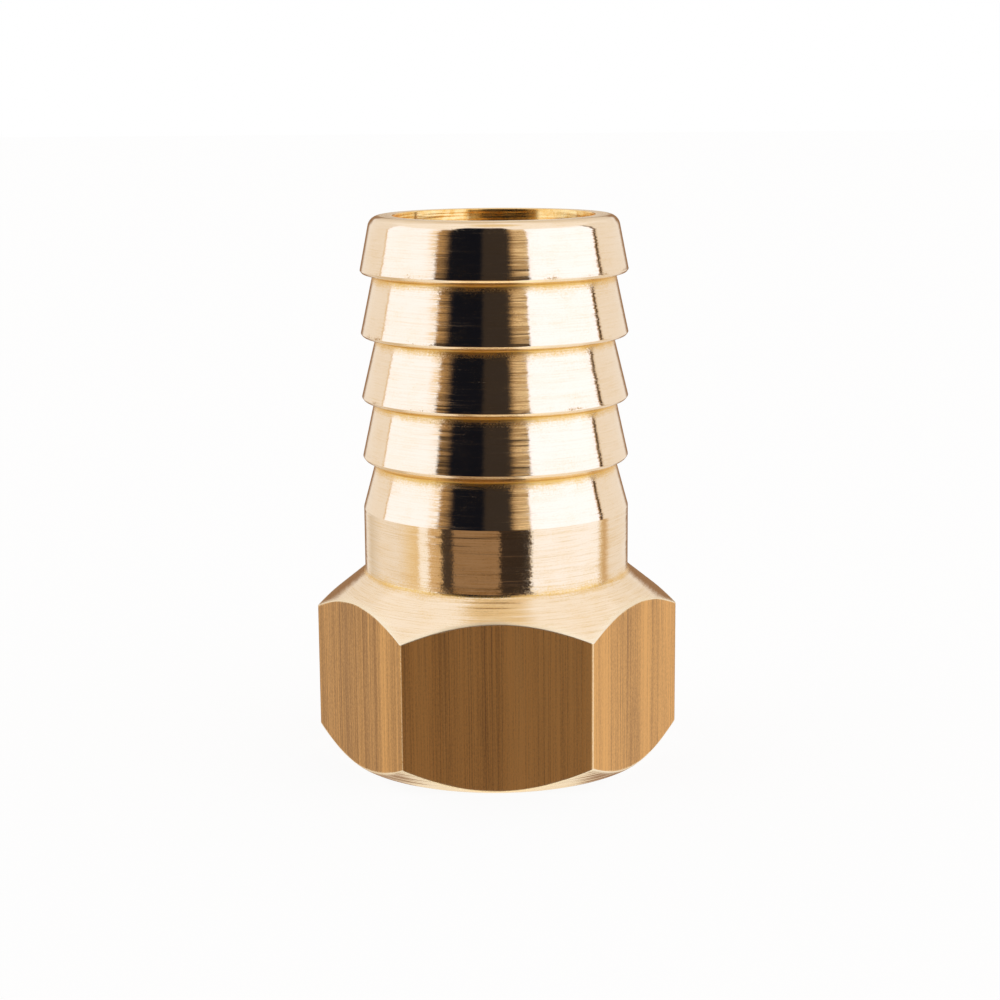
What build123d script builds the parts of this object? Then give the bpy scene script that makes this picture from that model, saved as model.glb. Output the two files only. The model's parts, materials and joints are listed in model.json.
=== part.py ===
"""Hose tail turned from hexagonal brass bar, in millimetres.

It stands on its threaded end, with the axis along +Z and the origin at the centre of the bottom
face. One flat of the hexagon faces -Y. From the bottom up it has a hexagon for a spanner, whose
two ends are turned off conically, a plain neck, a run of barbs for the hose and a rounded nose.
A threaded socket opens downwards and meets the waterway that runs up through the barbs.
"""
from build123d import *
from math import cos, radians, tan
import os

# Hexagonal bar
hex_across_flats = 32.0
hex_corner_rounding = 0.4
hex_sides = 6

# Bottom end, turned off conically outside the flat ring that the part stands on
bottom_ring_width = 1.48
bottom_chamfer_angle = 41.2

# Shoulder, a cone that falls from the foot of the neck to the hexagon's flats
neck_foot_height = 19.0
shoulder_angle = 38.9
foot_rounding = 0.5

# Plain neck under the barbs
neck_diameter = 26.85
neck_length = 6.5

# Barbs, listed from the neck up: each edge's height above the one before, and the root under it
barb_diameter = 26.8
barb_pitches = [5.25, 6.0, 6.4, 6.25]
root_diameters = [24.6, 24.6, 24.1, 24.5]
barb_step_height = 0.95
barb_edge_rounding = 0.35

# Nose above the last barb
nose_length = 5.4
nose_end_diameter = 24.7
nose_rounding = 1.2

# Waterway and the threaded socket, bored to the thread's major diameter
waterway_diameter = 20.2
thread_major_diameter = 26.44
thread_bore_depth = 15.0
thread_entry_chamfer = 1.0

# Heights and radii that follow from the sizes above
neck_top_height = neck_foot_height + neck_length
edge_heights = [neck_top_height + sum(barb_pitches[: count + 1]) for count in range(len(barb_pitches))]
overall_height = edge_heights[-1] + nose_length
corner_radius = hex_across_flats / 2 / cos(radians(180 / hex_sides))
thread_bore_radius = thread_major_diameter / 2
bottom_radius = thread_bore_radius + thread_entry_chamfer + bottom_ring_width
neck_radius = neck_diameter / 2
barb_radius = barb_diameter / 2
chamfer_rise = (corner_radius - bottom_radius) * tan(radians(bottom_chamfer_angle))
shoulder_drop = (corner_radius - neck_radius) * tan(radians(shoulder_angle))

with BuildPart() as hose_tail:
    # Hexagonal bar, its corners slightly rounded by drawing
    with BuildSketch(Plane.XY) as bar_section:
        RegularPolygon(radius=hex_across_flats / 2, side_count=hex_sides, major_radius=False)
        fillet(bar_section.vertices(), radius=hex_corner_rounding)
    extrude(amount=overall_height)

    # The bar is turned to one profile, which leaves an arched edge at both ends of every flat
    with BuildSketch(Plane.XZ) as turned_section:
        outline = [
            (0, 0),
            (bottom_radius, 0),
            (corner_radius, chamfer_rise),
            (corner_radius, neck_foot_height - shoulder_drop),
            (neck_radius, neck_foot_height),
            (neck_radius, neck_top_height),
        ]
        for edge_height, root_diameter in zip(edge_heights, root_diameters):
            outline.append((root_diameter / 2, edge_height - barb_step_height))
            outline.append((barb_radius, edge_height))
        outline.append((nose_end_diameter / 2, overall_height))
        outline.append((0, overall_height))
        with BuildLine():
            Polyline(*outline, close=True)
        make_face()
        foot_corner = turned_section.vertices().filter_by_position(Axis.Y, neck_foot_height, neck_foot_height)
        fillet(foot_corner, radius=foot_rounding)
        for edge_height in edge_heights:
            edge_corner = turned_section.vertices().filter_by_position(Axis.Y, edge_height, edge_height)
            fillet(edge_corner, radius=barb_edge_rounding)
        nose_corner = turned_section.vertices().group_by(Axis.Y)[-1].sort_by(Axis.X)[-1]
        fillet(nose_corner, radius=nose_rounding)
    revolve(axis=Axis.Z, mode=Mode.INTERSECT)

    # Waterway through the whole part
    with Locations((0, 0, overall_height)):
        Hole(radius=waterway_diameter / 2, depth=overall_height)

    # Threaded socket from below, with a flat bottom that takes a sealing washer
    with BuildSketch(Plane.XY):
        Circle(radius=thread_bore_radius)
    extrude(amount=thread_bore_depth, mode=Mode.SUBTRACT)
    socket_mouth = hose_tail.edges().filter_by(GeomType.CIRCLE).group_by(Axis.Z)[0].sort_by(SortBy.RADIUS)[0]
    chamfer(socket_mouth, length=thread_entry_chamfer)

hose_tail.part.label = "hose_tail"

os.makedirs("parts", exist_ok=True)
export_step(hose_tail.part, "parts/hose_tail.step")
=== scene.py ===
"""Studio picture of a brass hose tail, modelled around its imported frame.

The tail is turned from one hexagonal brass bar. It gets one closed mesh, with a finish of its own on
each kind of surface: turned faces, drawn flats, the bored waterway and the tapped socket.
Sizes are in millimetres unless a name says otherwise, and Blender gets them in metres.
"""

import json
import logging
import math
import random
from dataclasses import dataclass, field
from enum import Enum
from typing import Any

import bpy
import numpy as np
from mathutils import Matrix, Vector

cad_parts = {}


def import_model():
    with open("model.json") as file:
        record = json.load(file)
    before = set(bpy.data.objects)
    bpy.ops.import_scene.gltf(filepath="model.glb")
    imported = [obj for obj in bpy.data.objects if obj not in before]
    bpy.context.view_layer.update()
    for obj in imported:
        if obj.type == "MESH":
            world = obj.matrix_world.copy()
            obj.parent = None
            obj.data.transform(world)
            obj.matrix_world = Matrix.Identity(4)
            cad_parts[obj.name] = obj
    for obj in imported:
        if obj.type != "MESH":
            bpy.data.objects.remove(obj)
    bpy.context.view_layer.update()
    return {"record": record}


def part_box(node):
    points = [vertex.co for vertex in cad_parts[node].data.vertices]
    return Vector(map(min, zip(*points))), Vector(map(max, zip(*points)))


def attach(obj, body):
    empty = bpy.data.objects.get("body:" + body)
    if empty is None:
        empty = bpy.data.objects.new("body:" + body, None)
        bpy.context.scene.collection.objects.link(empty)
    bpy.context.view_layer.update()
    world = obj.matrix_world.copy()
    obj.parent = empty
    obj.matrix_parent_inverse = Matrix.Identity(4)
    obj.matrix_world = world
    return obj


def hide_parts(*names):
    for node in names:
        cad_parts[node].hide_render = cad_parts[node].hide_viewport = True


log = logging.getLogger("hose_tail")

MILLIMETRE = 0.001
NODE = "hose_tail"
BODY = "root"
PIECE = "hose_tail_metal"
RUN_ATTRIBUTE = "lathe_run"
EDGE_ATTRIBUTE = "edge_wear"
ROOT_ATTRIBUTE = "root_stain"
TIP_ATTRIBUTE = "tip_scuff"

Colour = tuple[float, float, float]
Span = tuple[float, float]

# Turn of a highlight's stretch, as a share of a full turn: across grooves or across die lines
GROOVE_TURN = 0.25
DIE_LINE_TURN = 0.0
WHITE = (1.0, 1.0, 1.0, 1.0)

HEXAGON_SIDES = 6
SECTOR = math.radians(360 / HEXAGON_SIDES)
HALF_SECTOR = math.radians(180 / HEXAGON_SIDES)


class Surface(Enum):
    """The kinds of surface on the tail, each with its place among the mesh's materials."""

    TURNED = 0
    DRAWN = 1
    BORED = 2
    TAPPED = 3


class Value:
    """A number inside a shader, so that its sums are written as Python expressions."""

    def __init__(self, tree: "ShaderTree", socket: bpy.types.NodeSocket) -> None:
        """Wraps one output socket.

        Args:
            tree: The tree that the socket's node stands in.
            socket: The output socket that carries the number.
        """
        self.tree = tree
        self.socket = socket

    def _math(self, operation: str, *operands: Any) -> "Value":
        """Adds one Math node.

        Args:
            operation: The Math node's operation.
            operands: Its inputs in order, each a Value or a number.

        Returns:
            The node's result.
        """
        sockets = dict(enumerate(operands))
        return self.tree.node("ShaderNodeMath", {"operation": operation}, sockets)

    def __add__(self, other: Any) -> "Value":
        """Sum with a value or a number."""
        return self._math("ADD", self, other)

    __radd__ = __add__

    def __sub__(self, other: Any) -> "Value":
        """Difference from a value or a number."""
        return self._math("SUBTRACT", self, other)

    def __rsub__(self, other: Any) -> "Value":
        """A number less this value."""
        return self._math("SUBTRACT", other, self)

    def __mul__(self, other: Any) -> "Value":
        """Product with a value or a number."""
        return self._math("MULTIPLY", self, other)

    __rmul__ = __mul__

    def __truediv__(self, other: Any) -> "Value":
        """Quotient by a value or a number."""
        return self._math("DIVIDE", self, other)

    def __neg__(self) -> "Value":
        """The value with its sign turned."""
        return self * -1.0

    def bearing(self, other: Any) -> "Value":
        """Angle in radians of the point whose sine part is this value and whose cosine part is the other."""
        return self._math("ARCTAN2", self, other)

    def arcsine(self) -> "Value":
        """Angle in radians whose sine this value is."""
        return self._math("ARCSINE", self)

    def sine(self) -> "Value":
        """Sine of the value, taken in radians."""
        return self._math("SINE", self)

    def step(self, low: float, high: float) -> "Value":
        """Smooth step of this value.

        Args:
            low: Where the step starts, at 0.
            high: Where the step ends, at 1.

        Returns:
            A mask from 0 to 1. It falls where low is more than high.
        """
        rising = low < high
        span = (low, high) if rising else (high, low)
        settings = {"interpolation_type": "SMOOTHSTEP"}
        sockets = {"Value": self, "From Min": span[0], "From Max": span[1]}
        mask = self.tree.node("ShaderNodeMapRange", settings, sockets)
        return mask if rising else 1.0 - mask


class ShaderTree:
    """A node tree that grows by plain calls."""

    # Places of the Mix node's colours among its inputs, and of the blended colour among its outputs
    MIX_FIRST = 6
    MIX_SECOND = 7
    MIX_BLENDED = 2

    def __init__(self, owner: Any) -> None:
        """Empties the tree of a material or world.

        Args:
            owner: The material or world that is dressed.
        """
        owner.use_nodes = True
        self.tree = owner.node_tree
        self.tree.nodes.clear()

    def node(self, kind: str, settings: dict | None = None, sockets: dict | None = None,
             output: int | str = 0) -> Value:
        """Adds one node.

        Args:
            kind: The node's type.
            settings: Its settings, made first. A ramp's stops are under "stops".
            sockets: Its inputs by name or index, each a Value or a plain value.
            output: Name or index of the output to use.

        Returns:
            That output.
        """
        made = self.tree.nodes.new(kind)
        for name, value in (settings or {}).items():
            if name == "stops":
                self._fill_ramp(made.color_ramp, value)
            else:
                setattr(made, name, value)
        for key, value in (sockets or {}).items():
            if isinstance(value, Value):
                self.tree.links.new(value.socket, made.inputs[key])
            else:
                made.inputs[key].default_value = value
        return Value(self, made.outputs[output])

    @staticmethod
    def _fill_ramp(ramp: bpy.types.ColorRamp, stops: list[tuple[float, Colour]]) -> None:
        """Sets a ramp's stops.

        Args:
            ramp: The ramp.
            stops: Place from 0 to 1 and colour of each stop, in order.
        """
        while len(ramp.elements) > 1:
            ramp.elements.remove(ramp.elements[-1])
        ramp.elements[0].position = stops[0][0]
        ramp.elements[0].color = (*stops[0][1], 1.0)
        for place, colour in stops[1:]:
            ramp.elements.new(place).color = (*colour, 1.0)

    def finish(self, kind: str, surface: Value) -> None:
        """Ends the tree.

        Args:
            kind: Type of the output node.
            surface: The shader that it shows.
        """
        out = self.tree.nodes.new(kind)
        self.tree.links.new(surface.socket, out.inputs["Surface"])

    def vector(self, operation: str, *operands: Any) -> Value:
        """Adds one Vector Math node.

        Args:
            operation: The node's operation.
            operands: Its inputs in order.

        Returns:
            The resulting vector.
        """
        return self.node("ShaderNodeVectorMath", {"operation": operation}, dict(enumerate(operands)))

    def scaled(self, vector: Value, factor: Any) -> Value:
        """A vector times a number."""
        return self.node("ShaderNodeVectorMath", {"operation": "SCALE"}, {0: vector, "Scale": factor})

    def blend(self, factor: Any, first: Any, second: Any) -> Value:
        """Blends two colours.

        Args:
            factor: Share of the second colour.
            first: Colour at factor 0, a Value or three numbers.
            second: Colour at factor 1, a Value or three numbers.

        Returns:
            The blended colour.
        """
        pair = [end if isinstance(end, Value) else (*end, 1.0) for end in (first, second)]
        sockets = {0: factor, self.MIX_FIRST: pair[0], self.MIX_SECOND: pair[1]}
        return self.node("ShaderNodeMix", {"data_type": "RGBA"}, sockets, self.MIX_BLENDED)


@dataclass(frozen=True)
class Grain:
    """One layer of noise in a finish.

    The first two numbers count its features in a millimetre, across its lines and along them. Lumps
    have no lines, so they have only the first. The tint is how much the layer darkens the finish.
    """

    across: float
    along: float = 0.0
    detail: float = 2.0
    roughness: float = 0.5
    tint: float = 0.0


@dataclass(frozen=True)
class MetalPlace:
    """Where a point of the metal lies, in millimetres, for the patterns of one finish."""

    material: bpy.types.Material
    tree: ShaderTree
    point: Value
    x: Value
    y: Value
    z: Value
    run: Value
    wear: Value
    stain: Value
    scuff: Value

    @classmethod
    def on(cls, name: str) -> "MetalPlace":
        """Starts a material and reads the point from the object's own coordinates.

        Args:
            name: The material's name.

        Returns:
            The place.
        """
        material = bpy.data.materials.new(name)
        tree = ShaderTree(material)
        metres = tree.node("ShaderNodeTexCoord", None, None, "Object")
        point = tree.scaled(metres, 1.0 / MILLIMETRE)
        parts = [tree.node("ShaderNodeSeparateXYZ", None, {0: point}, axis) for axis in "XYZ"]
        names = (RUN_ATTRIBUTE, EDGE_ATTRIBUTE, ROOT_ATTRIBUTE, TIP_ATTRIBUTE)
        kept = [tree.node("ShaderNodeAttribute", {"attribute_name": name}, None, "Fac") for name in names]
        return cls(material, tree, point, *parts, *kept)

    def _noise(self, grain: Grain, *parts: Value) -> Value:
        """Noise of one layer.

        Args:
            grain: The layer.
            parts: The point's three parts, scaled to one unit for each feature.

        Returns:
            Numbers from about -0.5 to 0.5.
        """
        place = self.tree.node("ShaderNodeCombineXYZ", None, dict(enumerate(parts)))
        sockets = {"Vector": place, "Scale": 1.0, "Detail": grain.detail, "Roughness": grain.roughness}
        return self.tree.node("ShaderNodeTexNoise", None, sockets) - 0.5

    def grooves(self, grain: Grain) -> Value:
        """Noise in lines round the part."""
        return self._noise(grain, self.x * grain.along, self.y * grain.along, self.run * grain.across)

    def die_lines(self, grain: Grain) -> Value:
        """Noise in lines up the part."""
        return self._noise(grain, self.x * grain.across, self.y * grain.across, self.z * grain.along)

    def lumps(self, grain: Grain) -> Value:
        """Noise that is the same in every direction."""
        return self._noise(grain, *(part * grain.across for part in (self.x, self.y, self.z)))

    def leaning_normal(self, sideways: Value, lengthwise: Value) -> Value:
        """The surface's normal, leaned by small amounts.

        Args:
            sideways: Lean round the part, as a slope.
            lengthwise: Lean along the turned profile, as a slope.

        Returns:
            The normal.
        """
        tree = self.tree
        straight = tree.node("ShaderNodeNewGeometry", None, None, "Normal")
        around = tree.vector("CROSS_PRODUCT", (0.0, 0.0, 1.0), self.point)
        around = tree.vector("NORMALIZE", around)
        along = tree.vector("CROSS_PRODUCT", straight, around)
        leaned = tree.vector("ADD", straight, tree.scaled(around, sideways))
        leaned = tree.vector("ADD", leaned, tree.scaled(along, lengthwise))
        return tree.vector("NORMALIZE", leaned)

    def finish(self, colour: Value, roughness: Value, normal: Value,
               anisotropy: float, turn: float) -> bpy.types.Material:
        """Ends the material with a bare metal surface.

        Args:
            colour: Colour of its reflection.
            roughness: Roughness over the surface.
            normal: Normal over the surface.
            anisotropy: Stretch of the highlight by fine grooves.
            turn: Turn of that stretch, as a share of a full turn.

        Returns:
            The material.
        """
        sockets = {
            "Base Color": colour,
            "Metallic": 1.0,
            "Roughness": roughness,
            "Normal": normal,
            "Anisotropic": anisotropy,
            "Anisotropic Rotation": turn,
        }
        self.tree.finish("ShaderNodeOutputMaterial",
                         self.tree.node("ShaderNodeBsdfPrincipled", None, sockets))
        return self.material


@dataclass(frozen=True)
class TurnedBrass:
    """Bright brass off the lathe, with fine grooves round the part and painted shade in its roots. Below the
    barbs it is a little duller.
    """

    dull_below: float
    dull_fade: float = 0.05
    pale: Colour = (0.93, 0.79, 0.615)
    deep: Colour = (0.85, 0.63, 0.36)
    # Deeper gold painted into the barbs' roots and the neck's foot as shade
    painted_root_shade: Colour = (0.82, 0.52, 0.145)
    streaked: Colour = (0.56, 0.38, 0.17)
    scuffed: Colour = (0.42, 0.23, 0.08)
    # Partly rubbed brass on the bar's edges, partly a painted highlight: paler than the brass itself
    burr: Colour = (1.00, 0.90, 0.70)
    # Noise round the part, then noise in lumps
    fine: Grain = Grain(5.0, 0.10, 1.0, 0.6, tint=0.4)
    jitter: Grain = Grain(8.5, 0.25, 2.0, 0.6, tint=0.35)
    broad: Grain = Grain(1.1, 0.05, tint=0.3)
    scratch: Grain = Grain(9.0, 0.14, 1.0)
    speckle: Grain = Grain(6.5, detail=1.0, tint=0.4)
    dots: Grain = Grain(9.0, detail=1.0)
    patch: Grain = Grain(0.45, detail=3.0, tint=0.5)
    # How much noise breaks up each mark, and the values between which the mark sets in
    scratch_limits: Span = (0.11, 0.20)
    pit_patches: float = 0.4
    pit_limits: Span = (0.10, 0.20)
    streak_dots: float = 0.35
    streak_limits: Span = (0.02, 0.24)
    scuff_patches: float = 2.6
    scuff_speckle: float = 0.9
    scuff_lines: float = 0.4
    scuff_limits: Span = (1.08, 1.50)
    root_shade_patches: float = 0.4
    root_shade_speckle: float = 0.6
    root_shade_lines: float = 0.5
    root_shade_limits: Span = (0.06, 0.90)
    # Tint of a plain face, and what the dull ones add
    plain_tint: float = 0.18
    dull_tint: float = 0.14
    dull_jitter: float = 0.45
    streak_strength: float = 0.06
    dull_streak_strength: float = 0.15
    scuff_strength: float = 0.85
    roughness: float = 0.085
    fine_roughness: float = 0.06
    dull_roughness: float = 0.015
    scuffed_roughness: float = 0.10
    pitted_roughness: float = 0.08
    shaded_root_roughness: float = 0.29
    worn_roughness: float = 0.20
    burr_roughness: float = 0.55
    scratch_roughness: float = 0.09
    anisotropy: float = 0.75
    # Slopes that the marks lean the surface by, round the part and along its profile
    groove_sideways: float = 0.038
    speckle_sideways: float = 0.019
    shaded_root_sideways: float = 0.20
    scuffed_sideways: float = 0.10
    dull_sideways: float = 0.04
    groove_lengthwise: float = 0.28
    patch_lengthwise: float = 0.02
    tip_lengthwise: float = -0.075

    def dress(self) -> bpy.types.Material:
        """Makes the material."""
        place = MetalPlace.on("turned_brass")
        blend = place.tree.blend
        dull = place.z.step(self.dull_below + self.dull_fade, self.dull_below - self.dull_fade)
        fine = place.grooves(self.fine)
        jitter = place.grooves(self.jitter)
        broad = place.grooves(self.broad)
        speckle = place.lumps(self.speckle)
        dots = place.lumps(self.dots)
        patch = place.lumps(self.patch)
        scratch = place.grooves(self.scratch).step(*self.scratch_limits) * (1.0 - dull)
        pits = (dots + patch * self.pit_patches).step(*self.pit_limits)
        tint = fine * self.fine.tint + jitter * (self.jitter.tint + dull * self.dull_jitter)
        tint = tint + broad * self.broad.tint + speckle * self.speckle.tint + patch * self.patch.tint
        tint = tint + dull * self.dull_tint + self.plain_tint
        colour = blend(tint.step(0.0, 1.0), self.pale, self.deep)
        streaks = (jitter + dots * self.streak_dots).step(*self.streak_limits)
        streaks = streaks * (self.streak_strength + dull * self.dull_streak_strength)
        colour = blend(streaks, colour, self.streaked)
        scuff = place.scuff + patch * self.scuff_patches + speckle * self.scuff_speckle
        scuff = (scuff + fine * self.scuff_lines).step(*self.scuff_limits)
        colour = blend(scuff * self.scuff_strength, colour, self.scuffed)
        # Painted shade: a deeper gold in the barbs' roots and at the neck's foot, with a rougher and leaned
        # surface there
        stain = place.stain + patch * self.root_shade_patches + speckle * self.root_shade_speckle
        stain = (stain + jitter * self.root_shade_lines).step(*self.root_shade_limits)
        colour = blend(stain, colour, self.painted_root_shade)
        roughness = self.roughness + fine * self.fine_roughness + dull * self.dull_roughness
        roughness = roughness + pits * self.pitted_roughness + scratch * self.scratch_roughness
        roughness = roughness + scuff * self.scuffed_roughness + stain * self.shaded_root_roughness
        # The bar's edges are paler, partly as wear and partly as a painted highlight
        burr = place.wear * dull
        colour = blend(burr, colour, self.burr)
        rubbed = self.worn_roughness + dull * (self.burr_roughness - self.worn_roughness)
        roughness = roughness * (1.0 - place.wear) + place.wear * rubbed
        lean = self.speckle_sideways + place.stain * self.shaded_root_sideways
        lean = lean + scuff * self.scuffed_sideways + dull * self.dull_sideways
        sideways = jitter * self.groove_sideways + speckle * lean
        lengthwise = fine * self.groove_lengthwise + patch * self.patch_lengthwise
        normal = place.leaning_normal(sideways, lengthwise + place.scuff * self.tip_lengthwise)
        return place.finish(colour, roughness, normal, self.anisotropy, GROOVE_TURN)


@dataclass(frozen=True)
class DrawnBrass:
    """Duller brass as the bar was drawn, with die lines up the flats and bright worn edges."""

    base: Colour = (0.82, 0.467, 0.162)
    dark: Colour = (0.34, 0.180, 0.070)
    worn: Colour = (0.90, 0.68, 0.40)
    # Noise in lines up the flats, then the nicks in their edges
    hair: Grain = Grain(7.5, 0.012, 1.0, 0.6, tint=0.34)
    lines: Grain = Grain(3.0, 0.010, 2.0, 0.6, tint=0.7)
    bands: Grain = Grain(0.42, 0.008, tint=1.1)
    grain: Grain = Grain(7.0, 3.5, 2.0, 0.7, tint=1.0)
    short: Grain = Grain(9.0, 0.10, 2.0, 0.6, tint=1.1)
    nicks: Grain = Grain(5.0)
    hair_limits: Span = (0.04, 0.14)
    tint_limits: Span = (-0.1, 1.1)
    nick_share: float = 0.7
    worn_limits: Span = (0.42, 0.60)
    worn_strength: float = 0.65
    plain_tint: float = 0.23
    # Painted shade: the flats darken towards the left, and between two depths from the front flat to the
    # others
    leftward_shade_slope: float = 0.009
    side_flat_shade: float = 0.18
    side_flat_shade_limits: Span = (-15.5, -9.0)
    roughness: float = 0.42
    hair_roughness: float = 0.15
    grain_roughness: float = 0.15
    worn_roughness: float = 0.25
    anisotropy: float = 0.3
    hair_sideways: float = 0.22
    short_sideways: float = 0.12
    grain_lengthwise: float = 0.15

    def dress(self) -> bpy.types.Material:
        """Makes the material."""
        place = MetalPlace.on("drawn_brass")
        blend = place.tree.blend
        hair = place.die_lines(self.hair)
        lines = place.die_lines(self.lines)
        bands = place.die_lines(self.bands)
        grain = place.die_lines(self.grain)
        short = place.die_lines(self.short)
        tint = hair.step(*self.hair_limits) * self.hair.tint + self.plain_tint
        tint = tint + lines * self.lines.tint + bands * self.bands.tint
        tint = tint + grain * self.grain.tint + short * self.short.tint
        # Painted shade: the flats are darker towards the left and beyond the front flat
        tint = tint + place.y.step(*self.side_flat_shade_limits) * self.side_flat_shade - place.x * self.leftward_shade_slope
        colour = blend(tint.step(*self.tint_limits), self.base, self.dark)
        worn = place.wear + place.lumps(self.nicks) * self.nick_share
        worn = worn.step(*self.worn_limits) * self.worn_strength
        colour = blend(worn, colour, self.worn)
        roughness = self.roughness + hair * self.hair_roughness + grain * self.grain_roughness
        roughness = roughness * (1.0 - worn) + worn * self.worn_roughness
        sideways = hair * self.hair_sideways + short * self.short_sideways
        normal = place.leaning_normal(sideways, grain * self.grain_lengthwise)
        return place.finish(colour, roughness, normal, self.anisotropy, DIE_LINE_TURN)


@dataclass(frozen=True)
class BoredBrass:
    """Brass inside the waterway, bored and a little duller than the outside."""

    pale: Colour = (1.00, 0.74, 0.34)
    deep: Colour = (0.84, 0.48, 0.11)
    rings: Grain = Grain(7.0, 0.15, 2.0, 0.6, tint=0.8)
    patch: Grain = Grain(0.9, detail=4.0, roughness=0.7, tint=1.6)
    tint_limits: Span = (0.2, 0.9)
    plain_tint: float = 0.50
    roughness: float = 0.18
    ring_roughness: float = 0.12
    anisotropy: float = 0.8
    patch_sideways: float = 0.05
    groove_lengthwise: float = 0.40
    mouth_lean: float = -0.09

    def dress(self) -> bpy.types.Material:
        """Makes the material."""
        place = MetalPlace.on("bored_brass")
        rings = place.grooves(self.rings)
        patch = place.lumps(self.patch)
        tint = rings * self.rings.tint + patch * self.patch.tint + self.plain_tint
        colour = place.tree.blend(tint.step(*self.tint_limits), self.pale, self.deep)
        roughness = self.roughness + rings * self.ring_roughness
        lengthwise = rings * self.groove_lengthwise + self.mouth_lean
        normal = place.leaning_normal(patch * self.patch_sideways, lengthwise)
        return place.finish(colour, roughness, normal, self.anisotropy, GROOVE_TURN)


@dataclass(frozen=True)
class TappedBrass:
    """Brass on the thread and the seat above it, with the torn bright lines that a tap leaves."""

    pale: Colour = (0.88, 0.68, 0.40)
    deep: Colour = (0.74, 0.50, 0.22)
    cuts: Grain = Grain(6.0, 0.5, 3.0, 0.6, tint=0.9)
    patch: Grain = Grain(0.6, detail=3.0, tint=1.0)
    tint_limits: Span = (0.2, 0.9)
    plain_tint: float = 0.5
    roughness: float = 0.26
    cut_roughness: float = 0.16
    anisotropy: float = 0.3
    cut_sideways: float = 0.06
    cut_lengthwise: float = 0.10

    def dress(self) -> bpy.types.Material:
        """Makes the material."""
        place = MetalPlace.on("tapped_brass")
        cuts = place.grooves(self.cuts)
        tint = cuts * self.cuts.tint + place.lumps(self.patch) * self.patch.tint + self.plain_tint
        colour = place.tree.blend(tint.step(*self.tint_limits), self.pale, self.deep)
        roughness = self.roughness + cuts * self.cut_roughness
        normal = place.leaning_normal(cuts * self.cut_sideways, cuts * self.cut_lengthwise)
        return place.finish(colour, roughness, normal, self.anisotropy, GROOVE_TURN)


@dataclass(frozen=True)
class HexagonBar:
    """Section of the drawn bar: a hexagon with corners on the X axis, slightly rounded."""

    across_flats: float
    corner_rounding: float = 0.4
    flat_columns: int = 40
    corner_columns: int = 5
    growth: tuple[float, ...] = (1.4, 2.0, 2.9, 4.2)

    @property
    def half_width(self) -> float:
        """Distance of each flat from the axis."""
        return self.across_flats / 2

    @property
    def corner_centre(self) -> float:
        """Distance from the axis to the centre of a corner's rounding."""
        return (self.half_width - self.corner_rounding) / math.cos(HALF_SECTOR)

    @property
    def corner_half_angle(self) -> float:
        """Angle at the axis, in radians, from a corner to where its flat begins."""
        beside = self.corner_rounding * math.sin(HALF_SECTOR)
        out = self.corner_centre + self.corner_rounding * math.cos(HALF_SECTOR)
        return math.atan2(beside, out)

    def columns(self) -> np.ndarray:
        """Angles of the mesh's columns in radians, close together at the corners."""
        half = self.corner_half_angle
        corner = np.linspace(-half, half, self.corner_columns + 1)
        beside = half * np.array(self.growth)
        before = SECTOR - beside[::-1]
        flat = np.linspace(beside[-1], before[0], self.flat_columns)[1:-1]
        one_sector = np.concatenate([corner, beside, flat, before])
        return np.concatenate([one_sector + SECTOR * count for count in range(HEXAGON_SIDES)])

    @staticmethod
    def from_corner(angles: np.ndarray) -> np.ndarray:
        """Angle from each direction to the nearest corner, all in radians."""
        return np.abs((angles + SECTOR / 2) % SECTOR - SECTOR / 2)

    def radius_at(self, angles: np.ndarray) -> np.ndarray:
        """Distance from the axis to the bar's outline.

        Args:
            angles: Directions from the axis, in radians.

        Returns:
            The distance in each direction.
        """
        from_corner = self.from_corner(angles)
        on_flat = self.half_width / np.cos(SECTOR / 2 - from_corner)
        reach = self.corner_rounding ** 2 - (self.corner_centre * np.sin(from_corner)) ** 2
        on_corner = self.corner_centre * np.cos(from_corner) + np.sqrt(np.maximum(reach, 0.0))
        return np.where(from_corner < self.corner_half_angle, on_corner, on_flat)


@dataclass(frozen=True)
class PipeThread:
    """Right-hand parallel pipe thread, cut into the socket's wall and standing inward from it."""

    major_radius: float
    pitch: float = 1.814
    depth: float = 1.162
    entry_chamfer: float = 1.0
    runout_height: float = 12.9
    rows_each_pitch: int = 9
    # The ridge's section: part round wave and part straight flanks, stretched until their ends are flat
    round_share: float = 0.35
    round_stretch: float = 1.15
    straight_stretch: float = 1.3

    @property
    def entry_radius(self) -> float:
        """Radius of the socket's mouth in the bottom face."""
        return self.major_radius + self.entry_chamfer

    @staticmethod
    def _stretched(wave: np.ndarray, stretch: float) -> np.ndarray:
        """A wave from 0 to 1, stretched about its middle and cut off flat at both ends."""
        return np.clip((wave - 0.5) * stretch + 0.5, 0.0, 1.0)

    def wall(self, angles: np.ndarray, height: float) -> np.ndarray:
        """Radius of the socket's wall.

        Args:
            angles: Directions from the axis, in radians.
            height: Height above the bottom face.

        Returns:
            The wall's radius in each direction: thread, entry chamfer or relief.
        """
        phase = height / self.pitch - angles / (2 * math.pi)
        saw = np.abs((phase % 1.0) - 0.5) * 2.0
        rounded = 0.5 - 0.5 * np.cos(math.pi * self._stretched(saw, self.round_stretch))
        straight = self._stretched(saw, self.straight_stretch)
        ridge = self.round_share * rounded + (1.0 - self.round_share) * straight
        thread = self.major_radius - self.depth * ridge
        chamfer = self.entry_radius - height
        relief = self.major_radius - (self.runout_height - height)
        return np.maximum(thread, np.maximum(chamfer, np.minimum(relief, self.major_radius)))


@dataclass(frozen=True)
class Corner:
    """One corner of the turned profile and the span that follows it.

    The radius and height hold one number for each column of the mesh.
    """

    radius: np.ndarray
    height: np.ndarray
    rounding: np.ndarray
    arc_rows: int
    span_rows: int
    surface: Surface

    @property
    def place(self) -> np.ndarray:
        """The radii and the heights, one under the other."""
        return np.stack([self.radius, self.height])


@dataclass(frozen=True)
class Row:
    """One ring of the mesh, and the surface between it and the next ring."""

    radius: np.ndarray
    height: np.ndarray
    surface: Surface


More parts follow.
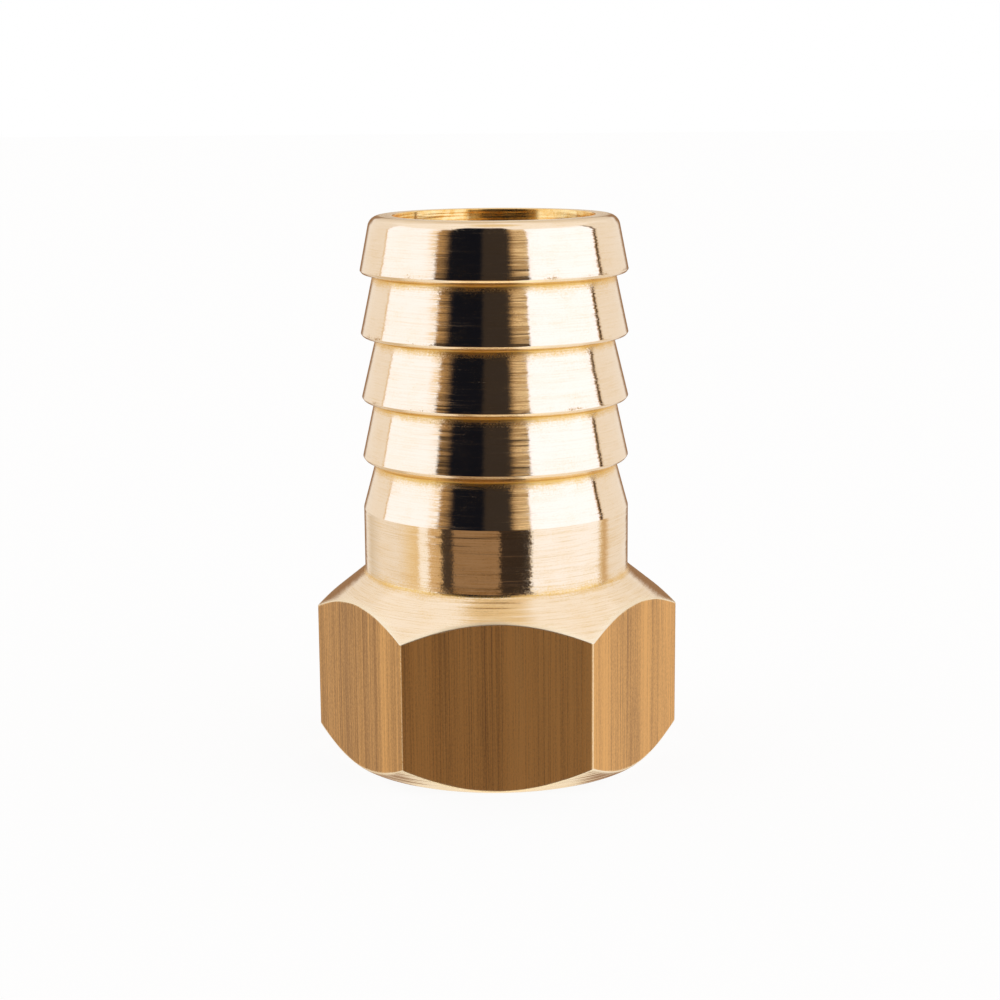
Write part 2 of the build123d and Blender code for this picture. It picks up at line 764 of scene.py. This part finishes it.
@dataclass
class HoseTail:
    """The brass tail: one closed mesh that stands for its solid."""

    bar: HexagonBar
    thread: PipeThread
    overall_height: float
    neck_radius: float
    neck_foot_height: float = 19.0
    neck_length: float = 6.5
    ring_width: float = 1.48
    bottom_chamfer_angle: float = 41.2
    shoulder_angle: float = 38.9
    barb_radius: float = 13.41
    barb_pitches: tuple[float, ...] = (5.25, 6.0, 6.4, 6.25)
    root_radii: tuple[float, ...] = (12.21, 12.21, 11.98, 12.19)
    barb_step_heights: tuple[float, ...] = (0.80, 0.58, 0.55, 0.58)
    rim_inward: float = 0.20
    rim_drop: float = 0.26
    nose_end_radius: float = 12.35
    waterway_radius: float = 10.1
    socket_depth: float = 15.0
    foot_rounding: float = 0.5
    root_rounding: float = 0.15
    neck_top_rounding: float = 0.12
    barb_edge_rounding: float = 0.12
    rim_end_rounding: float = 0.30
    nose_rounding: float = 1.2
    ring_rounding: float = 0.10
    bar_edge_rounding: float = 0.11
    # Distance of the rings that keep each rounding crisp, and of the outer ones on the flats
    hold: float = 0.05
    far_hold: float = 0.25
    # Waviness of the burr's width and of the wear along the bar's edges
    burr_unevenness: float = 0.35
    burr_waves: int = 9
    wear_unevenness: float = 0.3
    wear_waves: int = 12
    fewest_waves: int = 5
    wave_spacing: int = 3
    # Reach of the wear, the painted root shade and the scuffs from their edges and roots
    wear_reach: float = 0.15
    rim_reach: float = 0.21
    rim_fade: float = 0.02
    root_shade_reach: float = 0.48
    foot_shade_reach: float = 0.40
    foot_shade: float = 0.75
    scuff_reach: float = 0.40
    seed: int = 7
    angles: np.ndarray = field(init=False)
    rows: list[Row] = field(default_factory=list)

    def __post_init__(self) -> None:
        """Sets the mesh's columns."""
        self.angles = self.bar.columns()

    @property
    def bottom_radius(self) -> float:
        """Outer radius of the flat ring that the tail stands on."""
        return self.thread.entry_radius + self.ring_width

    @property
    def neck_top(self) -> float:
        """Height where the plain neck ends and the barbs begin."""
        return self.neck_foot_height + self.neck_length

    def _even(self, value: float | np.ndarray) -> np.ndarray:
        """One number for each column."""
        return np.broadcast_to(np.asarray(value, dtype=float), self.angles.shape).copy()

    def _unevenness(self, waves: int) -> np.ndarray:
        """A smooth random number for each column, the same every run.

        Args:
            waves: Number of waves that are added up.

        Returns:
            Numbers from about -1 to 1 that meet at the full turn.
        """
        dice = random.Random(self.seed + waves)
        total = np.zeros_like(self.angles)
        for count in range(waves):
            turns = self.fewest_waves + self.wave_spacing * count + dice.randrange(self.wave_spacing)
            total += np.sin(self.angles * turns + dice.uniform(0, 2 * math.pi))
        return total / math.sqrt(waves)

    def _corner(self, radius: float | np.ndarray, height: float | np.ndarray, rounding: float | np.ndarray,
                arc_rows: int, span_rows: int, surface: Surface = Surface.TURNED) -> Corner:
        """Makes one corner of the profile from plain numbers or one number for each column."""
        return Corner(self._even(radius), self._even(height), self._even(rounding),
                      arc_rows, span_rows, surface)

    def _low_arcs(self) -> np.ndarray:
        """Height of the flats' lower edge in each column, where the bottom chamfer meets the bar."""
        hexagon = self.bar.radius_at(self.angles)
        return (hexagon - self.bottom_radius) * math.tan(math.radians(self.bottom_chamfer_angle))

    def _high_arcs(self) -> np.ndarray:
        """Height of the flats' upper edge in each column, where the shoulder meets the bar."""
        hexagon = self.bar.radius_at(self.angles)
        drop = (hexagon - self.neck_radius) * math.tan(math.radians(self.shoulder_angle))
        return self.neck_foot_height - drop

    def corners(self) -> list[Corner]:
        """The profile's corners, from the bottom ring up the outside and down the waterway."""
        hexagon = self.bar.radius_at(self.angles)
        burr = self.bar_edge_rounding * (1.0 + self.burr_unevenness * self._unevenness(self.burr_waves))
        made = [
            self._corner(self.thread.entry_radius, 0.0, self.ring_rounding, 4, 2),
            self._corner(self.bottom_radius, 0.0, self.ring_rounding, 4, 5),
            self._corner(hexagon, self._low_arcs(), burr, 4, 6, Surface.DRAWN),
            self._corner(hexagon, self._high_arcs(), burr, 4, 8),
            self._corner(self.neck_radius, self.neck_foot_height, self.foot_rounding, 6, 6),
            self._corner(self.neck_radius, self.neck_top, self.neck_top_rounding, 3, 6),
        ]
        for (root_radius, root_height), edge_height in zip(self._roots(), self._edge_heights()):
            rim_radius = self.barb_radius - self.rim_inward
            rim_height = edge_height - self.rim_drop
            made.append(self._corner(root_radius, root_height, self.root_rounding, 4, 3))
            made.append(self._corner(rim_radius, rim_height, self.rim_end_rounding, 5, 1))
            made.append(self._corner(self.barb_radius, edge_height, self.barb_edge_rounding, 5, 8))
        made += [
            self._corner(self.nose_end_radius, self.overall_height, self.nose_rounding, 12, 2),
            self._corner(self.waterway_radius, self.overall_height, self.ring_rounding, 4, 6, Surface.BORED),
            self._corner(self.waterway_radius, self.socket_depth, self.ring_rounding, 4, 2, Surface.TAPPED),
        ]
        return made

    @staticmethod
    def _directions(before: Corner, corner: Corner,
                    after: Corner) -> tuple[np.ndarray, np.ndarray, np.ndarray]:
        """Looks both ways along the profile from one corner.

        Args:
            before: The corner before it.
            corner: The corner itself.
            after: The corner after it.

        Returns:
            The direction back, the direction ahead and half the angle between them, for each column.
        """
        back = before.place - corner.place
        ahead = after.place - corner.place
        back /= np.linalg.norm(back, axis=0)
        ahead /= np.linalg.norm(ahead, axis=0)
        half = np.arccos(np.clip((back * ahead).sum(axis=0), -1.0, 1.0)) / 2
        return back, ahead, half

    def _round(self, before: Corner, corner: Corner, after: Corner) -> None:
        """Adds the rows of one rounded corner, with a row close to each end of the rounding.

        Args:
            before: The corner before it.
            corner: The corner itself.
            after: The corner after it.
        """
        here = corner.place
        back, ahead, half = self._directions(before, corner, after)
        tangent = corner.rounding / np.tan(half)
        middle = back + ahead
        middle /= np.linalg.norm(middle, axis=0)
        centre = here + middle * corner.rounding / np.sin(half)
        start = here + back * tangent - centre
        end = here + ahead * tangent - centre
        sweep = math.pi - 2 * half
        if before.surface is Surface.DRAWN:
            self._add(here + back * (tangent + self.far_hold), before.surface)
        self._add(here + back * (tangent + self.hold), before.surface)
        surface = self._edge_surface(before, corner)
        for count in range(corner.arc_rows + 1):
            share = count / corner.arc_rows
            spoke = (start * np.sin((1 - share) * sweep) + end * np.sin(share * sweep)) / np.sin(sweep)
            self._add(centre + spoke, surface if count < corner.arc_rows else corner.surface)
        self._add(here + ahead * (tangent + self.hold), corner.surface)
        if corner.surface is Surface.DRAWN:
            self._add(here + ahead * (tangent + self.far_hold), corner.surface)

    @staticmethod
    def _edge_surface(before: Corner, corner: Corner) -> Surface:
        """Surface of a rounding between two spans: turned beside drawn flats, else as what follows."""
        if Surface.DRAWN in (before.surface, corner.surface):
            return Surface.TURNED
        return corner.surface

    def _add(self, place: np.ndarray, surface: Surface) -> None:
        """Adds one ring of the mesh at the given radii and heights."""
        self.rows.append(Row(place[0], place[1], surface))

    def _lay_rows(self) -> None:
        """Lays every ring of the mesh in order."""
        corners = self.corners()
        wall = self.thread.major_radius
        seat = self._corner(wall, self.socket_depth, self.ring_rounding, 3, 0, Surface.TAPPED)
        mouth = self._corner(wall, self.thread.entry_chamfer, 0.0, 0, 0, Surface.TAPPED)
        chain = [mouth, *corners, seat, mouth]
        for index in range(1, len(chain) - 1):
            corner = chain[index]
            self._round(chain[index - 1], corner, chain[index + 1])
            if index + 1 < len(chain) - 1:
                self._span(corner, chain[index + 1], chain[min(index + 2, len(chain) - 1)])
        self._cut_thread()

    def _span(self, corner: Corner, after: Corner, beyond: Corner) -> None:
        """Adds the rows between two roundings.

        Args:
            corner: The corner where the span starts.
            after: The corner where it ends.
            beyond: The corner after that, which sets how much the rounding takes.
        """
        here = np.stack([self.rows[-1].radius, self.rows[-1].height])
        back, _, half = self._directions(corner, after, beyond)
        kept = self.far_hold if corner.surface is Surface.DRAWN else self.hold
        there = after.place + back * (after.rounding / np.tan(half) + kept)
        for count in range(1, corner.span_rows):
            self._add(here + (there - here) * count / corner.span_rows, corner.surface)

    def _cut_thread(self) -> None:
        """Adds the rings of the thread, the relief above it and the entry chamfer below it."""
        top = float(self.rows[-1].height[0])
        step = self.thread.pitch / self.thread.rows_each_pitch
        count = int(top / step)
        for index in range(1, count):
            height = top * (1 - index / count)
            self._add(np.stack([self.thread.wall(self.angles, height), self._even(height)]), Surface.TAPPED)

    def _radii(self) -> np.ndarray:
        """Radius of every point, a row for each ring of the mesh and a column for each direction."""
        return np.stack([row.radius for row in self.rows])

    def _heights(self) -> np.ndarray:
        """Height of every point, laid out as the radii are."""
        return np.stack([row.height for row in self.rows])

    def _runs(self) -> np.ndarray:
        """Length along the profile at every point, counted from fixed rings so that grooves stay level."""
        radius = self._radii()
        height = self._heights()
        step = np.hypot(np.diff(radius, axis=0), np.diff(height, axis=0))
        run = np.concatenate([np.zeros((1, len(self.angles))), np.cumsum(step, axis=0)])
        foot = int(np.argmin(np.abs(height[:, 0] - self.neck_foot_height)
                             + np.abs(radius[:, 0] - self.neck_radius)))
        above = run - run[foot] + run[foot].mean()
        below_flats = height < self.bar.half_width / 2
        return np.where(below_flats & (np.arange(len(self.rows))[:, None] < foot), run, above)

    def _wear(self) -> np.ndarray:
        """Wear of the hexagon's and the barbs' edges at every point, 1 on an edge and 0 away from it."""
        across = self.bar.half_width * np.tan(HALF_SECTOR - self.bar.from_corner(self.angles))
        to_corner = np.maximum(self.bar.half_width * math.tan(HALF_SECTOR) - across, 0.0)
        low = self._low_arcs()
        high = self._high_arcs()
        height = self._heights()
        to_arc = np.minimum(np.abs(height - low), np.abs(high - height))
        between = (height > low - self.bar_edge_rounding) & (height < high + self.bar_edge_rounding)
        to_edge = np.where(between, np.minimum(to_arc, to_corner[None, :]), to_arc)
        reach = self.wear_reach * (1.0 + self.wear_unevenness * self._unevenness(self.wear_waves))
        on_bar = np.exp(-to_edge / reach)
        rim_middle = self.barb_radius - self.rim_inward / 2
        tips = [(rim_middle, edge - self.rim_drop / 2) for edge in self._edge_heights()]
        on_rim = np.clip((self.rim_reach - self._away(tips)) / self.rim_fade, 0.0, 1.0)
        return np.maximum(on_bar, on_rim)

    def _away(self, rings: list[tuple[float, float]]) -> np.ndarray:
        """Distance of every point from the nearest of some rings, each with a radius and a height."""
        radius = self._radii()
        height = self._heights()
        return np.min([np.hypot(radius - ring, height - level) for ring, level in rings], axis=0)

    def _stain(self) -> np.ndarray:
        """Painted shade in the barbs' roots and at the neck's foot, 1 at its darkest and 0 away from it."""
        foot = [(self.neck_radius, self.neck_foot_height)]
        return np.maximum(np.exp(-self._away(self._roots()) / self.root_shade_reach),
                          np.exp(-self._away(foot) / self.foot_shade_reach) * self.foot_shade)

    def _scuff(self) -> np.ndarray:
        """Scuffing just above the barbs' edges, where the hose rubs, 1 at its most and 0 away from it."""
        tips = [(self.barb_radius, edge + self.barb_edge_rounding) for edge in self._edge_heights()]
        above = self._heights() > min(edge for _, edge in tips)
        return np.exp(-self._away(tips) / self.scuff_reach) * above

    def _edge_heights(self) -> list[float]:
        """Height of each barb's edge, from the neck up."""
        counts = range(1, len(self.barb_pitches) + 1)
        return [self.neck_top + sum(self.barb_pitches[:count]) for count in counts]

    def _roots(self) -> list[tuple[float, float]]:
        """Radius and height of the root under each barb's edge."""
        heights = [edge - step for edge, step in zip(self._edge_heights(), self.barb_step_heights)]
        return list(zip(self.root_radii, heights))

    def build(self) -> bpy.types.Object:
        """Builds the tail's mesh.

        Returns:
            The object, at the scene's origin.
        """
        self._lay_rows()
        radius = self._radii()
        height = self._heights()
        points = np.stack([radius * np.cos(self.angles), radius * np.sin(self.angles), height], axis=2)
        ring_count, column_count = radius.shape
        ring, column = np.meshgrid(np.arange(ring_count), np.arange(column_count), indexing="ij")
        next_ring = (ring + 1) % ring_count
        next_column = (column + 1) % column_count
        faces = np.stack([
            ring * column_count + column,
            ring * column_count + next_column,
            next_ring * column_count + next_column,
            next_ring * column_count + column,
        ], axis=2).reshape(-1, 4)
        mesh = bpy.data.meshes.new(PIECE)
        mesh.from_pydata((points.reshape(-1, 3) * MILLIMETRE).tolist(), [], faces.tolist())
        surfaces = np.repeat([row.surface.value for row in self.rows], column_count)
        mesh.polygons.foreach_set("material_index", surfaces.astype(np.int32))
        mesh.polygons.foreach_set("use_smooth", np.ones(len(faces), dtype=bool))
        kept = {
            RUN_ATTRIBUTE: self._runs(),
            EDGE_ATTRIBUTE: self._wear(),
            ROOT_ATTRIBUTE: self._stain(),
            TIP_ATTRIBUTE: self._scuff(),
        }
        for name, values in kept.items():
            attribute = mesh.attributes.new(name, "FLOAT", "POINT")
            attribute.data.foreach_set("value", values.astype(np.float32).ravel())
        mesh.update()
        piece = bpy.data.objects.new(PIECE, mesh)
        bpy.context.scene.collection.objects.link(piece)
        log.info("%s: %d rings, %d columns, %d faces", PIECE, ring_count, column_count, len(faces))
        return piece

    def dress(self, piece: bpy.types.Object) -> None:
        """Gives every kind of surface its finish.

        Args:
            piece: The tail's object.
        """
        finishes = {
            Surface.TURNED: TurnedBrass(self.neck_top),
            Surface.DRAWN: DrawnBrass(),
            Surface.BORED: BoredBrass(),
            Surface.TAPPED: TappedBrass(),
        }
        for surface in Surface:
            piece.data.materials.append(finishes[surface].dress())


@dataclass(frozen=True)
class Panorama:
    """Light of the studio round one band of elevation.

    Each stop is a bearing in degrees, counted from the side where the camera stands towards +X,
    and the light's colour there.
    """

    stops: tuple[tuple[float, Colour], ...]

    @classmethod
    def ringed(cls, back: float, front: tuple[tuple[float, Colour], ...]) -> "Panorama":
        """Adds the brown wall behind the part, with its bright middle, to the stops in front.

        Args:
            back: Bearing where the brown wall starts at either side.
            front: Stops between the walls.

        Returns:
            The whole round.
        """
        left = (
            (-180.0, BACK_GLOW),
            (-GLOW_EDGE, BACK_GLOW),
            (-GLOW_FOOT, BACK_WALL),
            (-back - WALL_FADE, BACK_WALL),
            (-back, WALL),
        )
        right = tuple((-degrees, colour) for degrees, colour in reversed(left))
        return cls((*left, *front, *right))

    @classmethod
    def even(cls, colour: Colour) -> "Panorama":
        """The same light all round."""
        return cls(((0.0, colour),))

    def light(self, tree: ShaderTree, bearing: Value) -> Value:
        """The light seen in a direction.

        Args:
            tree: The world's tree.
            bearing: Bearing of the direction in degrees.

        Returns:
            The light's colour.
        """
        stops = [((degrees + 180.0) / 360.0, colour) for degrees, colour in self.stops]
        return tree.node("ShaderNodeValToRGB", {"stops": stops}, {0: (bearing + 180.0) / 360.0})


SOFTBOX_LEFT: Colour = (1.13, 1.19, 1.36)
SOFTBOX_RIGHT: Colour = (1.20, 1.27, 1.52)
WALL: Colour = (0.92, 0.855, 0.79)
BACK_WALL: Colour = (0.34, 0.20, 0.11)
BACK_GLOW: Colour = (0.86, 0.74, 0.58)
BLACK_CARD: Colour = (0.006, 0.007, 0.012)
DARK_ROOM: Colour = (0.040, 0.031, 0.026)
SHADED: Colour = (0.075, 0.050, 0.030)
CREVICE: Colour = (0.23, 0.140, 0.085)
GOLD_EDGE: Colour = (0.72, 0.46, 0.16)
DARK_EDGE: Colour = (0.04, 0.02, 0.01)
TABLE_WHITE: Colour = (1.10, 1.12, 1.22)
WARM_TABLE: Colour = (1.00, 0.94, 0.82)

# Bearings of the back wall's bright middle and of its foot, and the wall's fade at both sides
GLOW_EDGE = 178.4
GLOW_FOOT = 175.0
WALL_FADE = 8.0
# Bearings of the room's brown edges, which are darker in the band at the part's own height
SHADED_BEARINGS = ((-51.7, -39.5), (14.0, 30.5))

ROOM_FRONT = (
    (-114.0, WALL),
    (-113.2, GOLD_EDGE),
    (-112.0, GOLD_EDGE),
    (-111.2, SOFTBOX_LEFT),
    (-52.6, SOFTBOX_LEFT),
    (-51.6, (0.32, 0.19, 0.085)),
    (-44.5, (0.14, 0.088, 0.048)),
    (-39.0, BLACK_CARD),
    (-12.0, BLACK_CARD),
    (-9.0, DARK_ROOM),
    (13.5, DARK_ROOM),
    (17.0, (0.28, 0.175, 0.085)),
    (22.0, (0.42, 0.275, 0.13)),
    (30.2, (0.48, 0.32, 0.155)),
    (31.0, SOFTBOX_RIGHT),
    (100.8, SOFTBOX_RIGHT),
    (101.2, (0.60, 0.36, 0.11)),
    (101.8, DARK_EDGE),
    (104.2, DARK_EDGE),
    (104.8, (0.60, 0.36, 0.11)),
    (106.2, WALL),
)
ROOM = Panorama.ringed(163.0, ROOM_FRONT)
SIDES = Panorama.ringed(153.0, tuple(
    (degrees, SHADED if any(low < degrees < high for low, high in SHADED_BEARINGS) else colour)
    for degrees, colour in ROOM_FRONT
))

ROOM_SLATS = Panorama.ringed(163.0, (
    (-114.0, WALL),
    (-111.2, SOFTBOX_LEFT),
    (-64.0, SOFTBOX_LEFT),
    (-56.0, (0.97, 0.74, 0.42)),
    (-51.6, (0.66, 0.42, 0.18)),
    (-45.0, (0.44, 0.27, 0.12)),
    (-40.5, (0.08, 0.055, 0.04)),
    (-38.5, BLACK_CARD),
    (-12.0, BLACK_CARD),
    (-9.0, DARK_ROOM),
    (12.0, DARK_ROOM),
    (15.5, (0.55, 0.36, 0.18)),
    (19.0, (0.90, 0.68, 0.40)),
    (29.6, (0.98, 0.80, 0.52)),
    (30.4, SOFTBOX_RIGHT),
    (100.8, SOFTBOX_RIGHT),
    (101.8, (0.14, 0.08, 0.03)),
    (104.6, (0.14, 0.08, 0.03)),
    (106.0, WALL),
))

TABLE = Panorama.ringed(154.0, (
    (-140.0, (0.74, 0.66, 0.56)),
    (-118.0, WALL),
    (-95.0, WALL),
    (-79.0, (0.88, 0.71, 0.46)),
    (-71.5, (0.84, 0.64, 0.36)),
    (-69.5, (1.06, 1.04, 1.04)),
    (-62.0, (1.05, 1.02, 1.00)),
    (-58.3, (0.72, 0.50, 0.26)),
    (-49.0, (0.62, 0.42, 0.21)),
    (-47.0, (0.06, 0.042, 0.030)),
    (-38.2, (0.06, 0.042, 0.030)),
    (-36.8, (0.325, 0.203, 0.110)),
    (2.0, (0.325, 0.201, 0.108)),
    (4.0, (0.040, 0.027, 0.020)),
    (28.0, (0.032, 0.023, 0.018)),
    (30.0, (0.40, 0.28, 0.15)),
    (31.0, TABLE_WHITE),
    (98.0, TABLE_WHITE),
    (103.0, (0.80, 0.64, 0.42)),
    (108.0, (0.62, 0.42, 0.22)),
    (112.0, (0.80, 0.64, 0.46)),
    (116.0, WALL),
))

LOW_TABLE = Panorama.ringed(155.0, (
    (-145.0, (0.70, 0.56, 0.38)),
    (-100.0, (0.70, 0.56, 0.38)),
    (-85.0, (1.00, 0.92, 0.78)),
    (-72.0, TABLE_WHITE),
    (-55.0, TABLE_WHITE),
    (-46.0, CREVICE),
    (24.0, CREVICE),
    (32.0, TABLE_WHITE),
    (105.0, TABLE_WHITE),
    (115.0, (0.80, 0.68, 0.52)),
))

NEAR_TABLE = Panorama((
    (-58.0, WARM_TABLE),
    (-45.0, (0.70, 0.50, 0.29)),
    (24.0, (0.70, 0.50, 0.29)),
    (34.0, (1.12, 1.12, 0.95)),
    (110.0, WARM_TABLE),
))

FLOOR_BELOW = Panorama.even((1.46, 1.24, 0.84))

HIGH_BACK = Panorama((
    (-180.0, (0.72, 0.60, 0.44)),
    (-130.0, (1.03, 0.99, 0.96)),
    (130.0, (1.03, 0.99, 0.96)),
    (180.0, (0.72, 0.60, 0.44)),
))

OVERHEAD = Panorama.even((1.04, 1.00, 0.97))

ZENITH = Panorama.even((0.86, 0.69, 0.44))


@dataclass(frozen=True)
class Studio:
    """The pale floor, the studio's light and the camera."""

    floor_size: float = 6000.0
    floor_gap: float = 0.05
    floor_white_share: float = 0.92
    slat_pitch: float = 8.0
    slat_limits: Span = (-0.2, 0.5)
    # The dark cards stand higher between these bearings, and the wall behind the part ends lower
    card_rise: float = 24.0
    card_left: Span = (-46.0, -34.0)
    card_right: Span = (20.0, 8.0)
    back_fall: float = 22.0
    back_limits: Span = (130.0, 150.0)
    # From which elevation to which each zone takes over from the one below it
    bands: tuple[tuple[float, float, Panorama], ...] = (
        (-72.0, -66.0, NEAR_TABLE),
        (-50.0, -45.0, LOW_TABLE),
        (-24.0, -19.0, TABLE),
        (-7.0, -3.0, SIDES),
        (9.0, 13.0, ROOM),
        (33.0, 41.0, HIGH_BACK),
        (52.0, 68.0, OVERHEAD),
        (73.0, 82.0, ZENITH),
    )
    camera_place: tuple[float, float, float] = (0.409, -207.679, 67.041)
    camera_pitch: float = 11.215
    camera_roll: float = -0.437
    lens: float = 74.72
    sensor_width: float = 36.0
    clip_start: float = 0.01
    clip_end: float = 20.0

    def build_world(self) -> None:
        """Makes the light: white behind the object for the camera, the studio for everything else."""
        world = bpy.data.worlds.new("studio")
        bpy.context.scene.world = world
        tree = ShaderTree(world)
        direction = tree.node("ShaderNodeTexCoord", None, None, "Generated")
        x, y, z = [tree.node("ShaderNodeSeparateXYZ", None, {0: direction}, axis) for axis in "XYZ"]
        bearing = x.bearing(-y) * math.degrees(1.0)
        elevation = z.arcsine() * math.degrees(1.0)
        slats = (elevation * (2 * math.pi / self.slat_pitch)).sine()
        walls = [panorama.light(tree, bearing) for panorama in (ROOM, ROOM_SLATS)]
        room = tree.blend(slats.step(*self.slat_limits), *walls)
        light = FLOOR_BELOW.light(tree, bearing)
        card = bearing.step(*self.card_left) * bearing.step(*self.card_right)
        start, end = self.back_limits
        back = bearing.step(-start, -end) + bearing.step(start, end)
        raised = elevation - card * self.card_rise + back * self.back_fall
        for low, high, panorama in self.bands:
            beyond = room if panorama is ROOM else panorama.light(tree, bearing)
            level = raised if panorama is HIGH_BACK else elevation
            light = tree.blend(level.step(low, high), light, beyond)
        studio = tree.node("ShaderNodeBackground", None, {"Color": light, "Strength": 1.0})
        white = tree.node("ShaderNodeBackground", None, {"Color": WHITE, "Strength": 1.0})
        seen = tree.node("ShaderNodeLightPath", None, None, "Is Camera Ray")
        both = tree.node("ShaderNodeMixShader", None, {0: seen, 1: studio, 2: white})
        tree.finish("ShaderNodeOutputWorld", both)

    def build_floor(self) -> None:
        """Makes the floor, white to the camera apart from the object's soft shadow."""
        half = self.floor_size / 2 * MILLIMETRE
        drop = -self.floor_gap * MILLIMETRE
        mesh = bpy.data.meshes.new("floor")
        mesh.from_pydata([(-half, -half, drop), (half, -half, drop), (half, half, drop), (-half, half, drop)],
                         [], [(0, 1, 2, 3)])
        floor = bpy.data.objects.new("floor", mesh)
        bpy.context.scene.collection.objects.link(floor)
        material = bpy.data.materials.new("floor")
        tree = ShaderTree(material)
        seen = tree.node("ShaderNodeLightPath", None, None, "Is Camera Ray")
        paint = tree.node("ShaderNodeBsdfDiffuse", None, {"Color": WHITE})
        white = tree.node("ShaderNodeEmission", None, {"Color": WHITE, "Strength": 1.0})
        both = tree.node("ShaderNodeMixShader", None, {0: seen * self.floor_white_share, 1: paint, 2: white})
        tree.finish("ShaderNodeOutputMaterial", both)
        material.cycles.emission_sampling = "NONE"
        mesh.materials.append(material)
        floor.visible_glossy = False
        floor.visible_shadow = False

    def build_camera(self) -> None:
        """Places the camera as the photograph was taken."""
        data = bpy.data.cameras.new("camera")
        data.lens = self.lens
        data.sensor_width = self.sensor_width
        data.clip_start = self.clip_start
        data.clip_end = self.clip_end
        camera = bpy.data.objects.new("camera", data)
        bpy.context.scene.collection.objects.link(camera)
        tilt = Matrix.Rotation(math.radians(90.0 - self.camera_pitch), 4, "X")
        roll = Matrix.Rotation(math.radians(self.camera_roll), 4, "Z")
        place = Matrix.Translation(Vector(self.camera_place) * MILLIMETRE)
        camera.matrix_world = place @ tilt @ roll
        bpy.context.scene.camera = camera

    def build(self) -> None:
        """Builds the whole studio."""
        self.build_world()
        self.build_floor()
        self.build_camera()
        bpy.context.scene.view_settings.view_transform = "Standard"
        log.info("studio: world, floor and camera")


def main() -> None:
    """Loads the frame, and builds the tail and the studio."""
    logging.basicConfig(level=logging.INFO, format="%(name)s: %(message)s")
    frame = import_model()
    low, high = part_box(NODE)
    mounts = {mount["name"]: mount for mount in frame["record"]["mounts"]}
    bar = HexagonBar(across_flats=(high[1] - low[1]) / MILLIMETRE)
    thread = PipeThread(major_radius=mounts["female_thread"]["dims"]["r_mm"])
    tail = HoseTail(bar, thread, high[2] / MILLIMETRE, mounts["hose_neck"]["dims"]["r_mm"])
    piece = tail.build()
    tail.dress(piece)
    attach(piece, BODY)
    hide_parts(NODE)
    log.info("%s rides on %s and replaces %s", piece.name, BODY, NODE)
    Studio().build()


if __name__ == "__main__":
    main()
